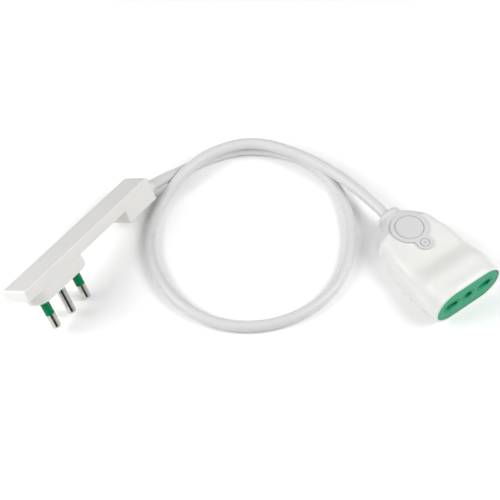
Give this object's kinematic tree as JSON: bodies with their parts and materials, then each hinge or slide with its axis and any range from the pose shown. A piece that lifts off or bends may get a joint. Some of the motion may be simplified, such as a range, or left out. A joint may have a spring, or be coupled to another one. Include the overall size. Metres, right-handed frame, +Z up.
{
  "type": "extension cord",
  "caption": "Short flexible lead with a flat three-pin plug at one end and an in-line socket with shuttered holes at the other.",
  "frame": {"origin": "under the middle of the in-line socket, on the floor it lies on", "axes": "+Y from the socket's face towards the cord, +X along the row of holes, +Z up"},
  "size_m": [0.224, 0.174, 0.0402],
  "materials": {
    "socket_white": "satin",
    "face_green": "satin",
    "inner_green": "matte",
    "shutter_white": "matte",
    "spring_steel": "satin",
    "contact_brass": "satin",
    "core_brown": "satin",
    "core_blue": "satin",
    "core_green_yellow": "satin",
    "anchor_grey": "matte",
    "relief_grey": "satin",
    "cord_white": "satin",
    "plug_white": "satin",
    "plug_back": "satin",
    "pin_nickel": "satin",
    "sleeve_green": "satin",
    "retainer_white": "matte",
    "plug_bush": "satin",
    "clamp_grey": "matte"
  },
  "bodies": {
    "socket": {"socket_shell": "socket_white", "socket_face": "face_green", "contact_carrier": "inner_green", "shutter_spring_left": "spring_steel", "shutter_spring_right": "spring_steel", "live_contact": "contact_brass", "neutral_contact": "contact_brass", "earth_contact": "contact_brass", "socket_wire_brown": "core_brown", "socket_wire_blue": "core_blue", "socket_wire_green_yellow": "core_green_yellow", "socket_cord_anchor": "anchor_grey", "strain_relief": "relief_grey", "cord": "cord_white", "plug_base": "plug_white", "plug_back_cover": "plug_back", "live_pin": "pin_nickel", "earth_pin": "pin_nickel", "neutral_pin": "pin_nickel", "live_pin_sleeve": "sleeve_green", "neutral_pin_sleeve": "sleeve_green", "pin_retainer": "retainer_white", "plug_wire_brown": "core_brown", "plug_wire_green_yellow": "core_green_yellow", "plug_wire_blue": "core_blue", "plug_bushing": "plug_bush", "plug_cord_clamp": "clamp_grey"},
    "shutter_left": {"shutter_left": "shutter_white"},
    "shutter_right": {"shutter_right": "shutter_white"}
  },
  "joints": [
    {"name": "left_shutter_slide", "type": "slide", "parent": "socket", "child": "shutter_left", "axis": [0, 0, -1], "range_m": [0, 0.0061], "stiffness_N_per_m": 150, "springref_m": -0.003, "deforming": ["shutter_spring_left"]},
    {"name": "right_shutter_slide", "type": "slide", "parent": "socket", "child": "shutter_right", "axis": [0, 0, -1], "range_m": [0, 0.0061], "stiffness_N_per_m": 150, "springref_m": -0.003, "deforming": ["shutter_spring_right"]}
  ]
}
